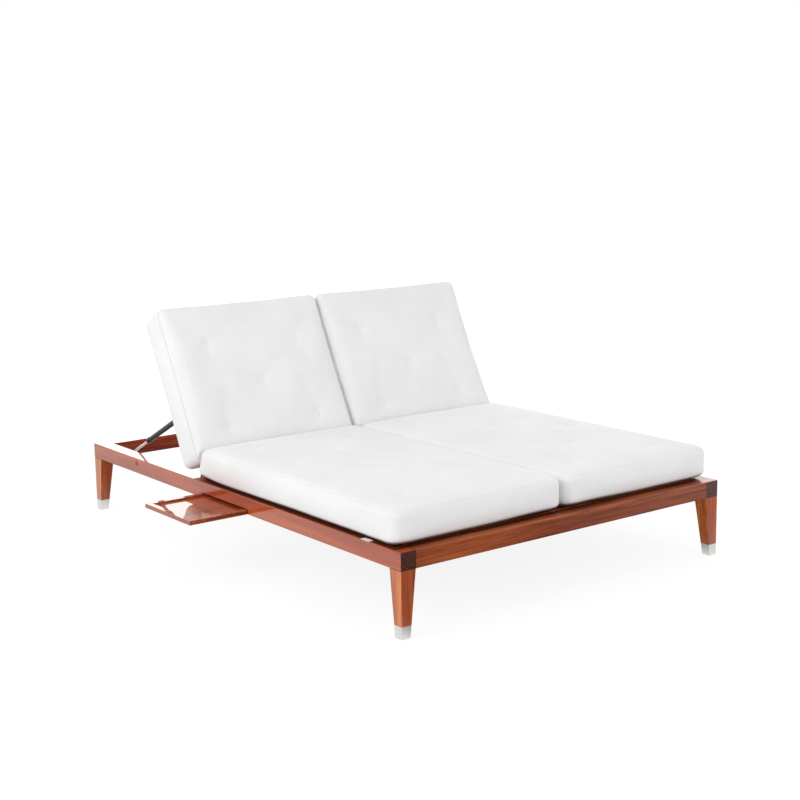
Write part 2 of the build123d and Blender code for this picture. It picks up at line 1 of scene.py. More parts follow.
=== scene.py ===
"""Looks for the double chaise lounger: cushions, buttons, varnished wood, metal, floor, light, camera."""

import math
from dataclasses import dataclass

import bpy
from mathutils import Matrix, Vector, noise


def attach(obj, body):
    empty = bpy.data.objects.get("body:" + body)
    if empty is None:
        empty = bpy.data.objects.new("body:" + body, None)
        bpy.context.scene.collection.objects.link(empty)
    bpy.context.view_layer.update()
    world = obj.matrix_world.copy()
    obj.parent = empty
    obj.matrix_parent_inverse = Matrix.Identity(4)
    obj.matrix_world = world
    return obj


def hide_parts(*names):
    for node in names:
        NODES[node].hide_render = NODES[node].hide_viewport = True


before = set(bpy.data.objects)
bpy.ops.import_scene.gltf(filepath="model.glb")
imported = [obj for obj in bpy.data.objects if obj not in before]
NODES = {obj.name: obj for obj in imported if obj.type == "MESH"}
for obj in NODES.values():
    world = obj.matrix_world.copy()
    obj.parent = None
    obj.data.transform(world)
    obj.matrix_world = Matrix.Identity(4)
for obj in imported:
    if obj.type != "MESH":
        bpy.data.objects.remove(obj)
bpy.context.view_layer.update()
SCENE = bpy.context.scene

# The frame and the left cushions, in metres: X across, Y from foot to head, Z up
FRAME_TOP = 0.270
FOOT_END = -1.015
BACK_ANGLE = math.radians(63.1)
HINGE = Vector((0, 0.299, 0.254))
HINGE_DROP = 0.017
CUSHION_OUTER = 0.696
CUSHION_INNER = 0.003
WIDTH = CUSHION_OUTER - CUSHION_INNER


# Nodes


def tree_of(name):
    material = bpy.data.materials.new(name)
    material.use_nodes = True
    nodes = material.node_tree.nodes
    links = material.node_tree.links
    return material, nodes, links, nodes["Principled BSDF"]


def set_inputs(node, values):
    for name, value in values.items():
        node.inputs[name].default_value = value


def math_node(nodes, links, operation, *values):
    """An operation on sockets and plain numbers."""
    node = nodes.new("ShaderNodeMath")
    node.operation = operation
    for number, value in enumerate(values):
        if isinstance(value, float):
            node.inputs[number].default_value = value
        else:
            links.new(value, node.inputs[number])
    return node.outputs["Value"]


def ranged(nodes, links, value, start, end, low=0.0, high=1.0):
    """Low up to start, high from end on, and an even run between them."""
    node = nodes.new("ShaderNodeMapRange")
    set_inputs(node, {"From Min": start, "From Max": end, "To Min": low, "To Max": high})
    links.new(value, node.inputs["Value"])
    return node.outputs["Result"]


def split(nodes, links, vector):
    """The parts of a vector, by letter."""
    node = nodes.new("ShaderNodeSeparateXYZ")
    links.new(vector, node.inputs["Vector"])
    return node.outputs


def turned_vector(nodes, links, vector, turn):
    """A vector turned by three angles, so that a slanted direction lies along an axis."""
    node = nodes.new("ShaderNodeVectorRotate")
    node.rotation_type = "EULER_XYZ"
    node.inputs["Rotation"].default_value = turn
    links.new(vector, node.inputs["Vector"])
    return node.outputs["Vector"]


def stretched(nodes, links, scale, turn=(0, 0, 0), offset=(0, 0, 0)):
    """Object space, turned first, then stretched and moved."""
    coordinates = nodes.new("ShaderNodeTexCoord")
    mapping = nodes.new("ShaderNodeMapping")
    set_inputs(mapping, {"Scale": scale, "Location": offset})
    links.new(turned_vector(nodes, links, coordinates.outputs["Object"], turn), mapping.inputs["Vector"])
    return mapping.outputs["Vector"]


def noise_value(nodes, links, vector, scale, detail, roughness=0.5, distortion=0.0):
    node = nodes.new("ShaderNodeTexNoise")
    set_inputs(node, {"Scale": scale, "Detail": detail, "Roughness": roughness, "Distortion": distortion})
    links.new(vector, node.inputs["Vector"])
    return node.outputs["Fac"]


def ramp(nodes, links, value, stops):
    """A colour by a value, from stops that each hold a place and a colour."""
    node = nodes.new("ShaderNodeValToRGB")
    elements = node.color_ramp.elements
    while len(elements) < len(stops):
        elements.new(0.5)
    for element, (place, colour) in zip(elements, stops):
        element.position = place
        element.color = (*colour, 1)
    links.new(value, node.inputs["Fac"])
    return node.outputs["Color"]


def mix_colour(nodes, links, blend, factor, first, second):
    """Two colours mixed. The factor may be a number, and the second colour a plain one."""
    node = nodes.new("ShaderNodeMix")
    node.data_type = "RGBA"
    node.blend_type = blend
    if isinstance(factor, float):
        node.inputs["Factor"].default_value = factor
    else:
        links.new(factor, node.inputs["Factor"])
    links.new(first, node.inputs["A"])
    if isinstance(second, tuple):
        node.inputs["B"].default_value = (*second, 1)
    else:
        links.new(second, node.inputs["B"])
    return node.outputs["Result"]


def bumped(nodes, links, height, strength, distance, under=None):
    """A normal bumped by a height, on top of another one where it is given."""
    node = nodes.new("ShaderNodeBump")
    set_inputs(node, {"Strength": strength, "Distance": distance})
    links.new(height, node.inputs["Height"])
    if under is not None:
        links.new(under, node.inputs["Normal"])
    return node.outputs["Normal"]


def vertex_value(nodes, name):
    """A number that the mesh holds at each vertex; nothing where a mesh has none by that name."""
    node = nodes.new("ShaderNodeAttribute")
    node.attribute_name = name
    return node.outputs["Fac"]


# Wood

# How each grain direction turns object space so that the grain runs along X
GRAIN_TURNS = {"x": (0, 0, 0), "y": (0, 0, math.pi / 2), "z": (0, math.pi / 2, 0),
               "slope": (-BACK_ANGLE, 0, math.pi / 2)}

# Colours by the place on the noise, from dark to light
WOOD_TONES = [(0.28, (0.140, 0.022, 0.0060)), (0.45, (0.250, 0.045, 0.0110)),
              (0.57, (0.335, 0.068, 0.0160)), (0.74, (0.440, 0.115, 0.0280))]
WOOD_MIDDLE = (0.300, 0.058, 0.0140)
STREAK_TONES = [(0.33, (0.48, 0.42, 0.38)), (0.50, (1.0, 1.0, 1.0)), (0.68, (1.20, 1.18, 1.12))]
PORE_TONES = [(0.30, (0.35, 0.30, 0.28)), (0.42, (1.0, 1.0, 1.0))]
PORE_SHARE = 0.40
END_TONES = [(0.35, (0.036, 0.0085, 0.0045)), (0.62, (0.096, 0.023, 0.0115))]
END_FACING = (0.80, 0.95)

# The share of the tones' spread that stays at no contrast, and how much more green the faces take that are
# painted lighter, as though lit from the side
LEAST_SPREAD = 0.35
SIDE_LIGHT_GREEN = 1.40

# How far a member's seed moves the noise along each axis
SEED_SHIFTS = (1.37, 0.71, 2.13)

# Where the seat cushions lie over the rails: the two edges of each mask
FACES_UP = (0.5, 0.9)
COVER_HEAD = (0.24, 0.14)
COVER_FOOT = (-0.986, -0.979)
COVER_SIDE = (CUSHION_OUTER + 0.001, CUSHION_OUTER - 0.005)
# Painted shade: the colour that darkens the wood under the seat cushions
CUSHION_SHADE_TINT = (0.30, 0.26, 0.26)
COVER_COAT = 0.35

# The round plug in the side rails' outer faces
PLUG_PLACE = (0, 0.650, 0.251)
PLUG_RADIUS = 0.0100
PLUG_RIM = 0.0110
PLUG_FACE = (0.680, 0.690)
PLUG_TINT = (0.38, 0.060, 0.012)


@dataclass
class Wood:
    """How one kind of member differs from the plain wood."""

    tint: tuple = (1.0, 1.0, 1.0)
    contrast: float = 0.9
    side_light_gain: float = 1.0
    coat: float = 1.0
    end_grain: bool = True
    cushion_shaded: bool = False
    plug: bool = False


# By a word in the node's name; no name holds two of them
WOODS = {
    "leg": Wood(tint=(1.30, 1.25, 1.05), contrast=0.7, side_light_gain=1.55),
    "side_rail": Wood(tint=(1.32, 1.10, 0.85), contrast=0.28, cushion_shaded=True, plug=True),
    "foot_rail": Wood(tint=(1.08, 1.14, 1.00), cushion_shaded=True),
    "head_rail": Wood(tint=(1.20, 0.88, 0.75)),
    "tray": Wood(tint=(1.30, 1.25, 1.20), contrast=0.5, coat=0.88, end_grain=False),
}

GRAINS = {
    "x": ["foot_rail", "head_rail", "left_hinge_rail", "right_hinge_rail", "seat_slats",
          "left_back_bottom_rail", "right_back_bottom_rail", "left_back_top_rail", "right_back_top_rail",
          "left_back_slats", "right_back_slats", "left_tray_guides", "right_tray_guides",
          "left_tray_panel", "right_tray_panel"],
    "y": ["left_tray_frame", "right_tray_frame", "left_side_rail", "right_side_rail", "centre_rail",
          "seat_cleats", "tray_back_stops", "left_tray_stop", "right_tray_stop"],
    "z": ["foot_left_leg", "foot_right_leg", "head_left_leg", "head_right_leg"],
    "slope": ["left_back_outer_stile", "right_back_outer_stile", "left_back_inner_stile",
              "right_back_inner_stile"],
}
FIRST_SEEDS = {"x": 5, "y": 5, "z": 5, "slope": 25}
SEED_STEP = 1.618


def covered_by_cushions(nodes, links):
    """Two masks on faces that look up: under the seat cushions, where shade is painted, and beside them
    along the rails.
    """
    surface = nodes.new("ShaderNodeTexCoord").outputs
    level = ranged(nodes, links, split(nodes, links, surface["Normal"])["Z"], *FACES_UP)
    place = split(nodes, links, surface["Object"])
    aside = math_node(nodes, links, "ABSOLUTE", place["X"])
    beside = math_node(nodes, links, "MULTIPLY", level, ranged(nodes, links, place["Y"], *COVER_HEAD))
    under = math_node(nodes, links, "MULTIPLY", beside, ranged(nodes, links, aside, *COVER_SIDE))
    under = math_node(nodes, links, "MULTIPLY", under, ranged(nodes, links, place["Y"], *COVER_FOOT))
    return under, beside


def plug_masks(nodes, links):
    """Two masks: the plug on the outer face, and all that lies clear of the plug's line."""
    place = split(nodes, links, nodes.new("ShaderNodeTexCoord").outputs["Object"])
    flat = nodes.new("ShaderNodeCombineXYZ")
    for letter in "YZ":
        links.new(place[letter], flat.inputs[letter])
    away = nodes.new("ShaderNodeVectorMath")
    away.operation = "DISTANCE"
    away.inputs[1].default_value = PLUG_PLACE
    links.new(flat.outputs["Vector"], away.inputs[0])
    outward = math_node(nodes, links, "ABSOLUTE", place["X"])
    disc = math_node(nodes, links, "MULTIPLY",
                     ranged(nodes, links, away.outputs["Value"], PLUG_RIM, PLUG_RADIUS),
                     ranged(nodes, links, outward, *PLUG_FACE))
    return disc, ranged(nodes, links, away.outputs["Value"], PLUG_RADIUS, PLUG_RIM)


def varnished_wood(name, grain, seed, wood):
    """Reddish hardwood under a thick clear varnish: streaks along the grain, pores, dark end grain."""
    material, nodes, links, shader = tree_of(name)
    turn = GRAIN_TURNS[grain]
    offset = tuple(seed * shift for shift in SEED_SHIFTS)

    def grained(along, across, **settings):
        """Noise stretched along the grain."""
        return noise_value(nodes, links, stretched(nodes, links, (along, across, across), turn, offset),
                           **settings)

    figure = grained(0.9, 14.0, scale=2.2, detail=5.0, roughness=0.6, distortion=0.5)
    streaks = grained(5.0, 190.0, scale=1.0, detail=4.0, roughness=0.62)
    pores = grained(45.0, 1300.0, scale=1.0, detail=1.0, roughness=0.5)
    spread = LEAST_SPREAD + (1 - LEAST_SPREAD) * wood.contrast
    tones = [(place, tuple(t * (m + (v - m) * spread) for t, v, m in zip(wood.tint, tone, WOOD_MIDDLE)))
             for place, tone in WOOD_TONES]
    streak = ramp(nodes, links, streaks, STREAK_TONES)
    colour = mix_colour(nodes, links, "MULTIPLY", wood.contrast, ramp(nodes, links, figure, tones), streak)
    colour = mix_colour(nodes, links, "MULTIPLY", PORE_SHARE, colour, ramp(nodes, links, pores, PORE_TONES))
    normal = nodes.new("ShaderNodeTexCoord").outputs["Normal"]
    if wood.side_light_gain > 1:
        # Painted light: faces that look across the lounger are made lighter, as though lit from the side
        sideways = math_node(nodes, links, "ABSOLUTE", split(nodes, links, normal)["X"])
        painted_side_light = mix_colour(nodes, links, "MULTIPLY", 1.0, colour,
                             (wood.side_light_gain, wood.side_light_gain * SIDE_LIGHT_GREEN, wood.side_light_gain))
        colour = mix_colour(nodes, links, "MIX", sideways, colour, painted_side_light)
    if wood.plug:
        disc, clear_of_plug = plug_masks(nodes, links)
        plugged = mix_colour(nodes, links, "MULTIPLY", 1.0, streak, PLUG_TINT)
        colour = mix_colour(nodes, links, "MIX", disc, colour, plugged)
    if wood.cushion_shaded:
        # Painted shade: the wood under the seat cushions is darkened as though in their shadow
        under, beside = covered_by_cushions(nodes, links)
        painted_cushion_shade = mix_colour(nodes, links, "MULTIPLY", 1.0, colour, CUSHION_SHADE_TINT)
        colour = mix_colour(nodes, links, "MIX", under, colour, painted_cushion_shade)
    if wood.end_grain:
        # It shows where the surface faces along the grain
        faced = split(nodes, links, turned_vector(nodes, links, normal, turn))["X"]
        facing = ranged(nodes, links, math_node(nodes, links, "ABSOLUTE", faced), *END_FACING)
        rings = grained(5.0, 190.0, scale=0.6, detail=4.0, roughness=0.6)
        colour = mix_colour(nodes, links, "MIX", facing, colour, ramp(nodes, links, rings, END_TONES))
    links.new(colour, shader.inputs["Base Color"])
    set_inputs(shader, {"Roughness": 0.42, "Specular IOR Level": 0.15, "Coat Weight": wood.coat,
                        "Coat Roughness": 0.03, "Coat IOR": 1.63})
    if wood.cushion_shaded:
        # The varnish is duller under the cushions and beside them
        coat = ranged(nodes, links, beside, 0.0, 1.0, 1.0, COVER_COAT)
        if wood.plug:
            coat = math_node(nodes, links, "MULTIPLY", coat, clear_of_plug)
        links.new(coat, shader.inputs["Coat Weight"])
    # The varnish is a little wavy
    waves = grained(0.5, 1.4, scale=5.0, detail=0.0)
    links.new(bumped(nodes, links, waves, strength=0.03, distance=0.0010), shader.inputs["Coat Normal"])
    return material


# Metal, enamel and fabric

# How fine the brushed lines are along their length and across it
BRUSH_ALONG = 12
BRUSH_ACROSS = 900

CANVAS = 0.86
# The colour of the painted shade on the cushions' undersides and the buttons' rims
PAINTED_SHADE_TINT = (0.34, 0.31, 0.30)


def brushed_metal(name, axis, colour=(0.60, 0.58, 0.55), roughness=0.34):
    """Steel with fine lines along one axis."""
    material, nodes, links, shader = tree_of(name)
    scale = tuple(BRUSH_ALONG if letter == axis else BRUSH_ACROSS for letter in "xyz")
    lines = noise_value(nodes, links, stretched(nodes, links, scale), scale=1.0, detail=3.0, roughness=0.6)
    tones = [(0.3, tuple(v * 0.80 for v in colour)), (0.7, tuple(min(v * 1.15, 1) for v in colour))]
    rough = ranged(nodes, links, lines, 0.0, 1.0, roughness - 0.08, roughness + 0.10)
    links.new(ramp(nodes, links, lines, tones), shader.inputs["Base Color"])
    links.new(rough, shader.inputs["Roughness"])
    links.new(bumped(nodes, links, lines, strength=0.25, distance=0.0002), shader.inputs["Normal"])
    shader.inputs["Metallic"].default_value = 1.0
    return material


def polished_metal(name):
    """Bright plated steel with faint smudges."""
    material, nodes, links, shader = tree_of(name)
    vector = stretched(nodes, links, (300, 300, 300))
    smudges = noise_value(nodes, links, vector, scale=0.08, detail=3.0, roughness=0.6)
    tones = [(0.3, (0.70, 0.70, 0.71)), (0.7, (0.84, 0.84, 0.85))]
    links.new(ramp(nodes, links, smudges, tones), shader.inputs["Base Color"])
    links.new(ranged(nodes, links, smudges, 0.0, 1.0, 0.06, 0.16), shader.inputs["Roughness"])
    shader.inputs["Metallic"].default_value = 1.0
    return material


def black_enamel(name):
    """Black paint with a fine grit."""
    material, nodes, links, shader = tree_of(name)
    vector = stretched(nodes, links, (900, 900, 900))
    grit = noise_value(nodes, links, vector, scale=1.0, detail=2.0, roughness=0.5)
    tones = [(0.3, (0.012, 0.012, 0.013)), (0.7, (0.030, 0.030, 0.032))]
    links.new(ramp(nodes, links, grit, tones), shader.inputs["Base Color"])
    links.new(bumped(nodes, links, grit, strength=0.2, distance=0.0001), shader.inputs["Normal"])
    set_inputs(shader, {"Roughness": 0.30, "Specular IOR Level": 0.30})
    return material


def outdoor_fabric(name, tilt=0.0, seed=0.0, seam_shade=0.8):
    """White acrylic canvas: a fine plain weave, faint slubs and a little sheen, with painted shade along the
    seams, on the undersides and on the buttons' rims.
    """
    material, nodes, links, shader = tree_of(name)
    vector = stretched(nodes, links, (1, 1, 1), (-tilt, 0, 0), (seed, seed, seed))
    threads = []
    for direction in "XYZ":
        wave = nodes.new("ShaderNodeTexWave")
        wave.bands_direction = direction
        set_inputs(wave, {"Scale": 330.0, "Distortion": 0.6, "Detail": 1.0, "Detail Scale": 0.3})
        links.new(vector, wave.inputs["Vector"])
        threads.append(wave.outputs["Fac"])
    weave = threads[0]
    for thread in threads[1:]:
        weave = math_node(nodes, links, "ADD", weave, thread)
    slubs = noise_value(nodes, links, vector, scale=160.0, detail=3.0, roughness=0.6)
    clouds = noise_value(nodes, links, vector, scale=5.0, detail=3.0, roughness=0.5)
    tone = ramp(nodes, links, clouds, [(0.3, (CANVAS * 0.965, CANVAS * 0.967, CANVAS * 0.972)),
                                       (0.7, (CANVAS * 1.02, CANVAS * 1.02, CANVAS * 1.02))])
    slub = ramp(nodes, links, slubs, [(0.35, (0.965, 0.965, 0.97)), (0.6, (1, 1, 1))])
    shade = mix_colour(nodes, links, "MULTIPLY", 0.8, tone, slub)
    # Painted shade along the seams, as though in their grooves
    seam_shading = math_node(nodes, links, "POWER", vertex_value(nodes, "seam_shade"), 1.6)
    shade = mix_colour(nodes, links, "MULTIPLY", seam_shading, shade, (seam_shade, seam_shade, seam_shade + 0.01))
    # Painted shade on the cushions' undersides and the buttons' rims
    shade = mix_colour(nodes, links, "MULTIPLY", vertex_value(nodes, "painted_shade"), shade, PAINTED_SHADE_TINT)
    links.new(shade, shader.inputs["Base Color"])
    unevenness = noise_value(nodes, links, vector, scale=38.0, detail=3.0, roughness=0.5)
    woven = bumped(nodes, links, weave, strength=0.22, distance=0.00025)
    soft = bumped(nodes, links, unevenness, strength=0.12, distance=0.002, under=woven)
    links.new(soft, shader.inputs["Normal"])
    set_inputs(shader, {"Roughness": 0.86, "Specular IOR Level": 0.25, "Sheen Weight": 0.12,
                        "Sheen Roughness": 0.5})
    return material


def dress(node, material):
    """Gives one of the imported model's nodes a material."""
    slots = NODES[node].material_slots
    if slots:
        for place in slots:
            place.material = material
    else:
        NODES[node].data.materials.append(material)


for grain, names in GRAINS.items():
    for number, node in enumerate(names):
        kind = next((wood for word, wood in WOODS.items() if word in node), Wood())
        dress(node, varnished_wood("mahogany_" + node, grain, FIRST_SEEDS[grain] + number * SEED_STEP, kind))

steel_upright = brushed_metal("brushed_steel_upright", "z", (0.76, 0.75, 0.73), 0.27)
steel_across = brushed_metal("brushed_steel_across", "x")
for node in NODES:
    if node.endswith("ferrule") or node == "leg_bolts":
        dress(node, steel_upright)
    elif "leaves" in node or "pins" in node or "bracket" in node:
        dress(node, steel_across)
for side in ("left", "right"):
    dress(side + "_strut_rod", polished_metal(side + "_chrome"))
    dress(side + "_strut_cylinder", black_enamel(side + "_black_enamel"))
dress("cushion_tab", outdoor_fabric("canvas_tab"))


# Cushions

# The grid's step, where its lines cross the rounded edges in degrees, and the gap under a cushion
GRID_STEP = 0.0115
EDGE_TURNS = (10, 22, 34, 45, 56, 68, 80)
CLEAR = 0.0008

# How the crown falls off towards the sides and towards the ends
CROWN_ACROSS = 3.2
CROWN_ALONG = 5

# The inner side, where two cushions meet, is drawn in by this share of what the outer side is
INNER_DRAW = 0.2

# How far the head end's lean reaches along the cushion
SLANT_REACH = 0.22

# The lower rim's lift: how high it reaches, and how far in from the sides, the foot and the head
LIFT_HEIGHT = 0.06
LIFT_SIDE = 0.055
LIFT_FOOT = 0.075
LIFT_HEAD = 0.16
LIFT_FOOT_GAIN = 1.9
LIFT_HEAD_GAIN = 1.6
LIFT_WAVE = 0.55
LIFT_WAVES = (3.5, 4.5)
LIFT_LAYER = 0.7

# Each tuft's hollow, the part of it that is held fast, how firmly the upper seam is held, and how far
# the cloth may move
TUFT_REACH = 0.046
TUFT_HELD = 0.012
SEAM_HELD = 0.35
MOVE_CAP = 0.006

CLOTH_FRAMES = 20
CLOTH = {"quality": 5, "mass": 0.35, "tension_stiffness": 22, "compression_stiffness": 22,
         "shear_stiffness": 8, "bending_stiffness": 1.2, "use_pressure": True,
         "uniform_pressure_force": 0.9, "vertex_group_mass": "held", "pin_stiffness": 1.0}

# The height of the fabric's slow and quick unevenness, and how close its waves lie along each axis
SWAY = 0.0011
SWAY_WAVES = (3.1, 2.7, 5.0)
RIPPLE = 0.0005
RIPPLE_WAVES = (11, 9, 16)

# The folds round a tuft: their height, where they start and over what length they grow, and where they
# begin to fade and over what length
FOLD_HEIGHT = 0.0011
FOLD_START = 0.006
FOLD_GROWS = 0.012
FOLD_FADES_FROM = 0.02
FOLD_FADES = 0.055

# A button's radius and level, from its middle to its hidden edge, and the shade on each ring: the rim
# lies in the tuft's shade
BUTTON_PROFILE = [(0.0000, 0.0048), (0.0040, 0.0045), (0.0078, 0.0036), (0.0104, 0.0020), (0.0116, 0.0002),
                  (0.0108, -0.0014), (0.0078, -0.0022)]
BUTTON_SHADES = (0.0, 0.0, 0.0, 0.25, 0.60, 0.60, 0.60)
BUTTON_SIDES = 28
BUTTON_WOBBLE = 0.025


def lines_between(stops):
    """Grid lines that pass through every stop, about one step apart."""
    lines = [stops[0]]
    for low, high in zip(stops, stops[1:]):
        count = max(1, round((high - low) / GRID_STEP))
        lines += [low + (high - low) * number / count for number in range(1, count + 1)]
    return lines


def smooth(value):
    """A soft step from 0 to 1."""
    value = min(max(value, 0.0), 1.0)
    return value * value * (3 - 2 * value)


def noise_at(place, waves, seed):
    return noise.noise(Vector((place.x * waves[0] + seed, place.y * waves[1], place.z * waves[2])))


@dataclass
class Form:
    """A cushion's outline and profile in its own frame: x across, y along, z out of its top.

    crown lifts the top's middle, draw pulls the sides in between the corners, slant leans the head end,
    low_round rounds the top's low end, depth is the tufts', seam_angle is the seams' place on the rounded
    edge in degrees, groove is the seams' depth, and lift raises the lower rim off what carries it.
    """

    length: float
    height: float
    crown: float
    edge_round: float
    corner: float
    draw: float
    slant: float
    low_round: float
    tufts: list
    depth: float
    seam_angle: float
    groove: float
    lift: float = 0.0

    def plan(self, x, y):
        """Turns a place on the square grid into one with rounded corners, and its distance in."""
        dx = min(x, WIDTH - x)
        dy = min(y, self.length - y)
        away = min(dx, dy)
        if dx < self.corner and dy < self.corner:
            a = self.corner - dx
            b = self.corner - dy
            reach = max(a, b) / math.hypot(a, b)
            new_dx = self.corner - a * reach
            new_dy = self.corner - b * reach
            x = new_dx if x < WIDTH / 2 else WIDTH - new_dx
            y = new_dy if y < self.length / 2 else self.length - new_dy
        return x, y, away

    def settle(self, x, y, z):
        """Draws the sides in, lifts the lower rim, leans the head end and rounds the top's low end."""
        across = x / WIDTH * 2 - 1
        along = y / self.length * 2 - 1
        draw = self.draw if across < 0 else self.draw * INNER_DRAW
        x = WIDTH / 2 + (x - WIDTH / 2) * (1 - draw / (WIDTH / 2) * (1 - along * along))
        pull = self.draw / (self.length / 2) * (1 - across * across)
        y = self.length / 2 + (y - self.length / 2) * (1 - pull)
        if self.lift and z < LIFT_HEIGHT:
            side = smooth(1 - min(x, WIDTH - x) / LIFT_SIDE)
            foot = smooth(1 - y / LIFT_FOOT) * LIFT_FOOT_GAIN
            head = smooth(1 - (self.length - y) / LIFT_HEAD) * LIFT_HEAD_GAIN
            ground = Vector((x * LIFT_WAVES[0], y * LIFT_WAVES[1], LIFT_LAYER))
            wave = 1 + LIFT_WAVE * noise.noise(ground)
            z += self.lift * wave * max(side * (1 + head), foot) * (1 - z / LIFT_HEIGHT)
        if self.slant:
            hold = smooth(1 - (self.length - y) / SLANT_REACH)
            y += self.slant * (self.height - min(z, self.height)) * hold
        big = self.low_round
        if big > self.edge_round and y < big and z > self.height - big:
            v = Vector((y - big, z - (self.height - big)))
            if v.length > big:
                v = v.normalized() * big
                y = big + v.x
                z = self.height - big + v.y
        return x, y, z

    def edge_drop(self, away):
        """How far the rounded edge falls back at a distance in from the side."""
        if away >= self.edge_round:
            return 0.0
        cosine = 1 - away / self.edge_round
        return self.edge_round * (1 - math.sqrt(max(0.0, 1 - cosine * cosine)))

    def top(self, x, y):
        x, y, away = self.plan(x, y)
        xi = abs(x / WIDTH * 2 - 1)
        eta = abs(y / self.length * 2 - 1)
        rise = self.crown * (1 - xi ** CROWN_ACROSS) * (1 - eta ** CROWN_ALONG)
        x, y, z = self.settle(x, y, self.height - self.edge_drop(away))
        return Vector((x, y, z + rise))

    def bottom(self, x, y):
        x, y, away = self.plan(x, y)
        return Vector(self.settle(x, y, self.edge_drop(away)))

    def grid_lines(self, size, stops):
        """Lines close together on both rounded edges, and between them through every stop."""
        edge = [self.edge_round * (1 - math.cos(math.radians(turn)))
                for turn in EDGE_TURNS if turn >= self.seam_angle] + [self.edge_round]
        middle = lines_between([self.corner] + sorted(stops) + [size - self.corner])
        return edge + middle + [size - place for place in reversed(edge)]

    def boxing_levels(self):
        """The boxing's lines, from the lower seam to the upper one."""
        low = [self.edge_round * (1 - math.sin(math.radians(turn)))
               for turn in reversed((0,) + EDGE_TURNS) if turn < self.seam_angle]
        middle = lines_between([low[-1], self.height - low[-1]])[1:-1]
        return low + middle + [self.height - level for level in reversed(low)]


def linked_object(name, mesh):
    piece = bpy.data.objects.new(name, mesh)
    SCENE.collection.objects.link(piece)
    return piece


def shade_smooth(mesh):
    for polygon in mesh.polygons:
        polygon.use_smooth = True


def build_grid(name, form):
    """One closed mesh: a top panel, a bottom panel, and the boxing between the two seams."""
    xs = form.grid_lines(WIDTH, {x for x, y in form.tufts})
    ys = form.grid_lines(form.length, {y for x, y in form.tufts})
    columns = len(xs)
    rows = len(ys)
    vertices = []
    faces = []
    top = {}
    bottom = {}
    for panel, shape in ((top, form.top), (bottom, form.bottom)):
        for j, y in enumerate(ys):
            for i, x in enumerate(xs):
                panel[i, j] = len(vertices)
                vertices.append(shape(x, y))
    for j in range(rows - 1):
        for i in range(columns - 1):
            faces.append((top[i, j], top[i + 1, j], top[i + 1, j + 1], top[i, j + 1]))
            faces.append((bottom[i, j], bottom[i, j + 1], bottom[i + 1, j + 1], bottom[i + 1, j]))
    ring = [(i, 0) for i in range(columns)] + [(columns - 1, j) for j in range(1, rows)]
    ring += [(i, rows - 1) for i in range(columns - 2, -1, -1)] + [(0, j) for j in range(rows - 2, 0, -1)]

    def join(low, high):
        for k in range(len(ring)):
            n = (k + 1) % len(ring)
            faces.append((low[k], low[n], high[n], high[k]))

    r = form.edge_round
    last = [bottom[key] for key in ring]
    for level in form.boxing_levels():
        near = min(level, form.height - level)
        sine = 1 - near / r if near < r else 0.0
        inset = r * (1 - math.sqrt(1 - sine * sine))
        current = []
        for i, j in ring:
            x = xs[i] if 0 < i < columns - 1 else (inset if i == 0 else WIDTH - inset)
            y = ys[j] if 0 < j < rows - 1 else (inset if j == 0 else form.length - inset)
            px, py, _ = form.plan(x, y)
            current.append(len(vertices))
            vertices.append(Vector(form.settle(px, py, level)))
        join(last, current)
        last = current
    final = [top[key] for key in ring]
    join(last, final)
    mesh = bpy.data.meshes.new(name)
    mesh.from_pydata([tuple(v) for v in vertices], [], faces)
    mesh.update()
    info = {"top": set(top.values()), "bottom": set(bottom.values()),
            "top_seam": set(final), "bottom_seam": {bottom[key] for key in ring}}
    return linked_object(name, mesh), info


def inflate(piece, form, info):
    """Cloth under pressure, held flat underneath and pulled down at each tuft; moves are capped."""
    mesh = piece.data
    rest = [v.co.copy() for v in mesh.vertices]
    hold = piece.vertex_groups.new(name="held")
    hold.add(list(info["bottom"]), 1.0, "REPLACE")
    hold.add(list(info["top_seam"]), SEAM_HELD, "REPLACE")
    for x, y in form.tufts:
        middle = form.top(x, y)
        for k in info["top"]:
            gap = (rest[k].xy - middle.xy).length
            if gap < TUFT_REACH:
                mesh.vertices[k].co.z -= form.depth * (1 - smooth(gap / TUFT_REACH)) ** 1.5
            if gap < TUFT_HELD:
                hold.add([k], 1.0, "REPLACE")
    start = [v.co.copy() for v in mesh.vertices]
    cloth = piece.modifiers.new("pressure", "CLOTH")
    for name, value in CLOTH.items():
        setattr(cloth.settings, name, value)
    cloth.settings.effector_weights.gravity = 0
    cloth.point_cache.frame_start = SCENE.frame_start = 1
    cloth.point_cache.frame_end = SCENE.frame_end = CLOTH_FRAMES
    for number in range(1, CLOTH_FRAMES + 1):
        SCENE.frame_set(number)
    graph = bpy.context.evaluated_depsgraph_get()
    blown = piece.evaluated_get(graph).to_mesh()
    moved = [v.co.copy() for v in blown.vertices]
    piece.evaluated_get(graph).to_mesh_clear()
    piece.modifiers.remove(cloth)
    SCENE.frame_set(1)
    for k, v in enumerate(mesh.vertices):
        shift = moved[k] - start[k]
        if shift.length > MOVE_CAP:
            shift *= MOVE_CAP / shift.length
        v.co = start[k] + shift
    piece.vertex_groups.clear()


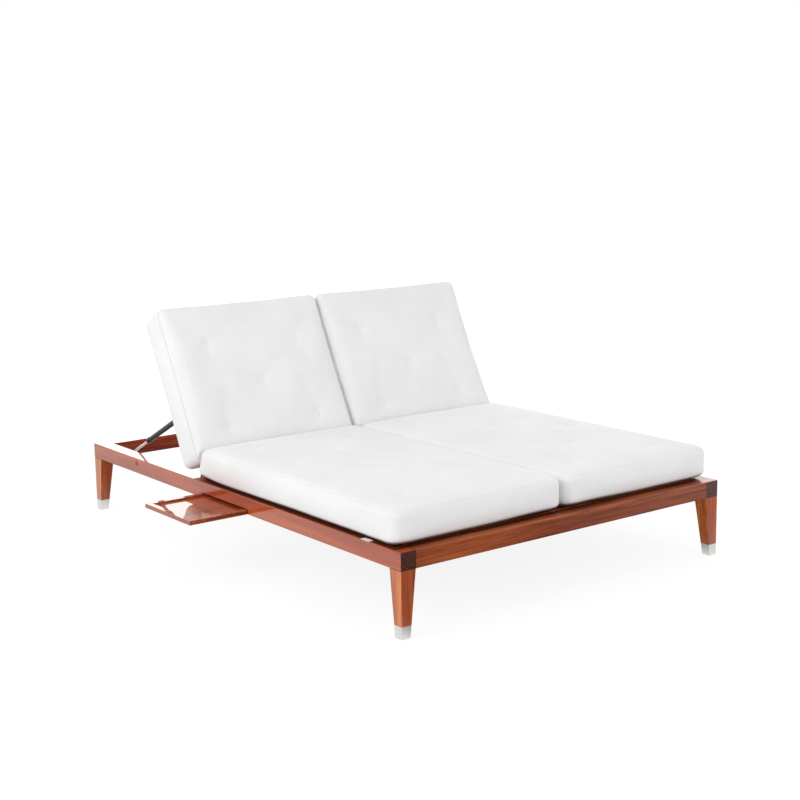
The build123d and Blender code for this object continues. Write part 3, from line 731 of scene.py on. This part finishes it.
def finish_cushion(piece, form, info, seed):
    """Unevenness, seam grooves and folds round the tufts, then one subdivision."""
    mesh = piece.data
    mesh.update()
    normals = [v.normal.copy() for v in mesh.vertices]
    for k, v in enumerate(mesh.vertices):
        if k not in info["bottom"]:
            sway = noise_at(v.co, SWAY_WAVES, seed)
            ripple = noise_at(v.co, RIPPLE_WAVES, seed)
            v.co += normals[k] * (SWAY * sway + RIPPLE * ripple)
    # Seam vertices are marked for painted shade along the seams
    seam_shade = mesh.attributes.new("seam_shade", "FLOAT", "POINT")
    for k in info["top_seam"] | info["bottom_seam"]:
        mesh.vertices[k].co -= normals[k] * form.groove
        seam_shade.data[k].value = 1.0
    # Painted shade on the underside, as though it lay in shadow: only a form whose rim is lifted shows its
    # underside
    painted_shade = mesh.attributes.new("painted_shade", "FLOAT", "POINT")
    for k in info["bottom"] if form.lift else ():
        painted_shade.data[k].value = 1.0
    for number, (x, y) in enumerate(form.tufts):
        middle = form.top(x, y)
        for k in info["top"]:
            p = mesh.vertices[k].co
            dx = p.x - middle.x
            dy = p.y - middle.y
            gap = math.hypot(dx, dy)
            if FOLD_START < gap < FOLD_FADES_FROM + FOLD_FADES:
                turn = math.atan2(dy, dx)
                grown = smooth((gap - FOLD_START) / FOLD_GROWS)
                faded = smooth((gap - FOLD_FADES_FROM) / FOLD_FADES)
                # Four folds, with three weaker ones over them, turned from tuft to tuft
                fold = math.sin(turn * 4 + number * 1.9 + seed) + 0.6 * math.sin(turn * 3 + number * 0.7)
                p.z += FOLD_HEIGHT * grown * (1 - faded) * fold
    shade_smooth(mesh)
    modifier = piece.modifiers.new("smooth", "SUBSURF")
    modifier.levels = 1
    modifier.render_levels = 1
    graph = bpy.context.evaluated_depsgraph_get()
    fine = bpy.data.meshes.new_from_object(piece.evaluated_get(graph))
    piece.modifiers.clear()
    piece.data = fine


def mirrored(piece, name):
    mesh = piece.data.copy()
    mesh.transform(Matrix.Scale(-1, 4, (1, 0, 0)))
    mesh.flip_normals()
    return linked_object(name, mesh)


def buttons(name, places):
    """Covered buttons, turned from one profile, each at a place on the cushion's frame."""
    vertices = []
    shades = []
    faces = []
    for place in places:
        first = len(vertices)
        vertices.append((place.x, place.y, place.z + BUTTON_PROFILE[0][1]))
        shades.append(BUTTON_SHADES[0])
        for (radius, level), shade in zip(BUTTON_PROFILE[1:], BUTTON_SHADES[1:]):
            for k in range(BUTTON_SIDES):
                turn = 2 * math.pi * k / BUTTON_SIDES
                wobble = 1 + BUTTON_WOBBLE * math.sin(turn * 5 + place.x * 40)
                vertices.append((place.x + radius * wobble * math.cos(turn),
                                 place.y + radius * wobble * math.sin(turn), place.z + level))
                shades.append(shade)
        for k in range(BUTTON_SIDES):
            faces.append((first, first + 1 + k, first + 1 + (k + 1) % BUTTON_SIDES))
        for ring in range(len(BUTTON_PROFILE) - 2):
            a = first + 1 + ring * BUTTON_SIDES
            b = a + BUTTON_SIDES
            for k in range(BUTTON_SIDES):
                n = (k + 1) % BUTTON_SIDES
                faces.append((a + k, b + k, b + n, a + n))
    mesh = bpy.data.meshes.new(name)
    mesh.from_pydata(vertices, [], faces)
    # Each ring's painted shade is held at its vertices
    painted_shade = mesh.attributes.new("painted_shade", "FLOAT", "POINT")
    painted_shade.data.foreach_set("value", shades)
    shade_smooth(mesh)
    return linked_object(name, mesh)


def tuft_rows(middle_y, spacing_x, spacing_y, rows):
    """Rows of two tufts and of one, in turn, along the cushion."""
    places = []
    for row in range(rows):
        y = middle_y + (row - (rows - 1) / 2) * spacing_y
        for shift in ((0,) if row % 2 else (-spacing_x / 2, spacing_x / 2)):
            places.append((WIDTH / 2 + shift, y))
    return places


def place_pair(kind, form, matrix, body, tilt, seed, seam_shade):
    """Makes the left cushion and its buttons, mirrors both, fixes each to its body and hides the model's
    part that it stands in for.
    """
    cushion, info = build_grid("left_" + kind + "_cushion_cover", form)
    inflate(cushion, form, info)
    button_places = []
    for x, y in form.tufts:
        middle = form.top(x, y)
        best = min(info["top"], key=lambda k: (cushion.data.vertices[k].co.xy - middle.xy).length)
        button_places.append(cushion.data.vertices[best].co.copy())
    finish_cushion(cushion, form, info, seed)
    studs = buttons("left_" + kind + "_button_covers", button_places)
    fabric = outdoor_fabric("canvas_" + kind, tilt, seed, seam_shade)
    for left, noun, node in ((cushion, "cushion_cover", "cushion"), (studs, "button_covers", "buttons")):
        left.data.transform(matrix)
        right = mirrored(left, "right_" + kind + "_" + noun)
        for side, piece in (("left", left), ("right", right)):
            piece.data.materials.clear()
            piece.data.materials.append(fabric)
            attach(piece, side + "_backrest" if body == "backrest" else body)
            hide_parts(side + "_" + kind + "_" + node)


seat_start = FOOT_END + 0.032
seat_form = Form(length=0.180 - seat_start, height=0.114, crown=0.013, edge_round=0.024, corner=0.050,
                 draw=0.004, slant=0.40, low_round=0.0,
                 tufts=tuft_rows(middle_y=-0.424 - seat_start, spacing_x=0.408, spacing_y=0.210, rows=5),
                 depth=0.0105, seam_angle=45, groove=0.0012, lift=0.0052)
seat_matrix = Matrix.Translation((-CUSHION_OUTER, seat_start, FRAME_TOP + CLEAR))
place_pair("seat", seat_form, seat_matrix, "frame", tilt=0.0, seed=1.3, seam_shade=0.94)

# The back cushion lies along the slope that starts at the hinge
back_start = 0.019
back_form = Form(length=0.611 - back_start, height=0.142, crown=0.006, edge_round=0.024, corner=0.034,
                 draw=0.004, slant=0.0, low_round=0.060,
                 tufts=tuft_rows(middle_y=0.284 - back_start, spacing_x=0.390, spacing_y=0.1595, rows=3),
                 depth=0.0110, seam_angle=10, groove=0.0020)
slope = Matrix.Translation(HINGE) @ Matrix.Rotation(BACK_ANGLE, 4, "X")
back_matrix = slope @ Matrix.Translation((-CUSHION_OUTER, back_start, HINGE_DROP + CLEAR))
place_pair("back", back_form, back_matrix, "backrest", tilt=BACK_ANGLE, seed=4.7, seam_shade=0.78)


# Floor, light and camera

FLOOR_REACH = 30.0
FLOOR_GREY = 0.82
FLOOR_FAINT = 0.16
AMBIENT = 0.78

# The floor's own glow: its strength near the lounger, and the distances over which it rises to full
GLOW_NEAR = 0.88
GLOW_FADE = (1.6, 3.2)

# Where the floor that the varnish mirrors is dimmer: in front of the lounger, and in its shade
FRONT_DIM = 0.90
FRONT_Y = (-1.02, -1.45)
FRONT_X = (-1.4, -0.6)
FAR_RIGHT_X = (0.2, 1.7)
FAR_RIGHT_SHARE = 0.5
SHADE_DIM = 0.86
SHADE_X = (0.68, 0.56)
SHADE_Y = (1.00, 0.88)

# Where the camera stands, and how it is turned, in degrees
CAMERA_PLACE = (-3.2391973, -4.3677693, 1.5144523)
CAMERA_AZIMUTH = -37.2058
CAMERA_ELEVATION = 10.5691
CAMERA_ROLL = -0.8452
CAMERA_LENS = 66.608
CAMERA_SENSOR = 36.0


def backdrop_rays(nodes, links):
    """Two factors: one for a straight ray, and one for a straight, mirrored or let-through ray."""
    path = nodes.new("ShaderNodeLightPath").outputs
    seen = path["Is Camera Ray"]
    for kind in ("Is Glossy Ray", "Is Transmission Ray"):
        seen = math_node(nodes, links, "MAXIMUM", seen, path[kind])
    return path["Is Camera Ray"], seen


def grey_shader(nodes, kind, grey=1.0):
    node = nodes.new(kind)
    node.inputs["Color"].default_value = (grey, grey, grey, 1)
    return node


def mixed(nodes, links, factor, first, second):
    node = nodes.new("ShaderNodeMixShader")
    for number, value in enumerate((factor, first, second)):
        links.new(value, node.inputs[number])
    return node.outputs[0]


def mirrored_strength(nodes, links, spot):
    """How bright the floor is where the object's gloss mirrors it."""
    place = split(nodes, links, spot)
    in_front = ranged(nodes, links, place["Y"], *FRONT_Y, 0.0, FRONT_DIM)
    between = math_node(nodes, links, "MULTIPLY", ranged(nodes, links, place["X"], *FRONT_X),
                        ranged(nodes, links, place["X"], *FAR_RIGHT_X, 1.0, FAR_RIGHT_SHARE))
    front = math_node(nodes, links, "MULTIPLY", in_front, between)
    aside = math_node(nodes, links, "ABSOLUTE", place["X"])
    inside = math_node(nodes, links, "MULTIPLY", ranged(nodes, links, aside, *SHADE_X),
                       ranged(nodes, links, place["Y"], *SHADE_Y))
    shaded = math_node(nodes, links, "MULTIPLY", inside, SHADE_DIM)
    dimmed = math_node(nodes, links, "MAXIMUM", front, shaded)
    return math_node(nodes, links, "SUBTRACT", 1.0, dimmed)


def white_floor():
    """A floor that looks white, keeps the object's shadow and lights it as matte grey."""
    mesh = bpy.data.meshes.new("floor")
    corners = [(x * FLOOR_REACH, y * FLOOR_REACH, 0) for x, y in ((-1, -1), (1, -1), (1, 1), (-1, 1))]
    mesh.from_pydata(corners, [], [(0, 1, 2, 3)])
    floor = linked_object("floor", mesh)
    material = bpy.data.materials.new("floor_white")
    material.use_nodes = True
    nodes = material.node_tree.nodes
    links = material.node_tree.links
    nodes.clear()
    straight, seen = backdrop_rays(nodes, links)
    spot = nodes.new("ShaderNodeTexCoord").outputs["Object"]
    away = nodes.new("ShaderNodeVectorMath")
    away.operation = "LENGTH"
    links.new(spot, away.inputs[0])
    glow = grey_shader(nodes, "ShaderNodeEmission")
    glow_strength = ranged(nodes, links, away.outputs["Value"], *GLOW_FADE, GLOW_NEAR, 1.0)
    links.new(glow_strength, glow.inputs["Strength"])
    direct = nodes.new("ShaderNodeAddShader")
    links.new(grey_shader(nodes, "ShaderNodeBsdfDiffuse", FLOOR_FAINT).outputs[0], direct.inputs[0])
    links.new(glow.outputs[0], direct.inputs[1])
    reflection = grey_shader(nodes, "ShaderNodeEmission")
    links.new(mirrored_strength(nodes, links, spot), reflection.inputs["Strength"])
    matte = grey_shader(nodes, "ShaderNodeBsdfDiffuse", FLOOR_GREY)
    shown = mixed(nodes, links, straight, reflection.outputs[0], direct.outputs[0])
    out = nodes.new("ShaderNodeOutputMaterial")
    links.new(mixed(nodes, links, seen, matte.outputs[0], shown), out.inputs["Surface"])
    mesh.materials.append(material)


def white_world(ambient):
    """White where it is seen, and dimmer as a light."""
    world = bpy.data.worlds.new("studio")
    SCENE.world = world
    world.use_nodes = True
    nodes = world.node_tree.nodes
    links = world.node_tree.links
    nodes.clear()
    _, seen = backdrop_rays(nodes, links)
    backgrounds = []
    for strength in (ambient, 1.0):
        node = grey_shader(nodes, "ShaderNodeBackground")
        node.inputs["Strength"].default_value = strength
        backgrounds.append(node.outputs[0])
    out = nodes.new("ShaderNodeOutputWorld")
    links.new(mixed(nodes, links, seen, *backgrounds), out.inputs["Surface"])


def area_light(name, place, target, size, power):
    data = bpy.data.lights.new(name, "AREA")
    data.shape = "RECTANGLE"
    data.size, data.size_y = size
    data.energy = power
    light = linked_object(name, data)
    light.location = place
    light.rotation_euler = (Vector(target) - Vector(place)).to_track_quat("-Z", "Y").to_euler()
    light.visible_camera = False


def place_camera():
    azimuth = math.radians(CAMERA_AZIMUTH)
    elevation = math.radians(CAMERA_ELEVATION)
    roll = math.radians(CAMERA_ROLL)
    forward = Vector((-math.sin(azimuth) * math.cos(elevation), math.cos(azimuth) * math.cos(elevation),
                      -math.sin(elevation)))
    right = forward.cross(Vector((0, 0, 1))).normalized()
    up = right.cross(forward)
    turned_right = right * math.cos(roll) + up * math.sin(roll)
    turned_up = up * math.cos(roll) - right * math.sin(roll)
    data = bpy.data.cameras.new("camera")
    data.sensor_width = CAMERA_SENSOR
    data.lens = CAMERA_LENS
    data.clip_end = 100
    camera = linked_object("camera", data)
    rotation = Matrix((turned_right, turned_up, -forward)).transposed()
    camera.matrix_world = Matrix.Translation(CAMERA_PLACE) @ rotation.to_4x4()
    SCENE.camera = camera


white_floor()
white_world(AMBIENT)
area_light("key", place=(-4.6, -0.4, 2.7), target=(0, 0, 0.3), size=(3.2, 2.6), power=80)
area_light("fill", place=(1.8, -4.9, 2.2), target=(0, 0, 0.3), size=(2.5, 2.5), power=36)
area_light("backdrop_glow", place=(3.4, 4.4, 1.4), target=(0, 0, 0.5), size=(9.0, 2.8), power=160)
place_camera()
SCENE.view_settings.view_transform = "Standard"

bpy.context.view_layer.update()
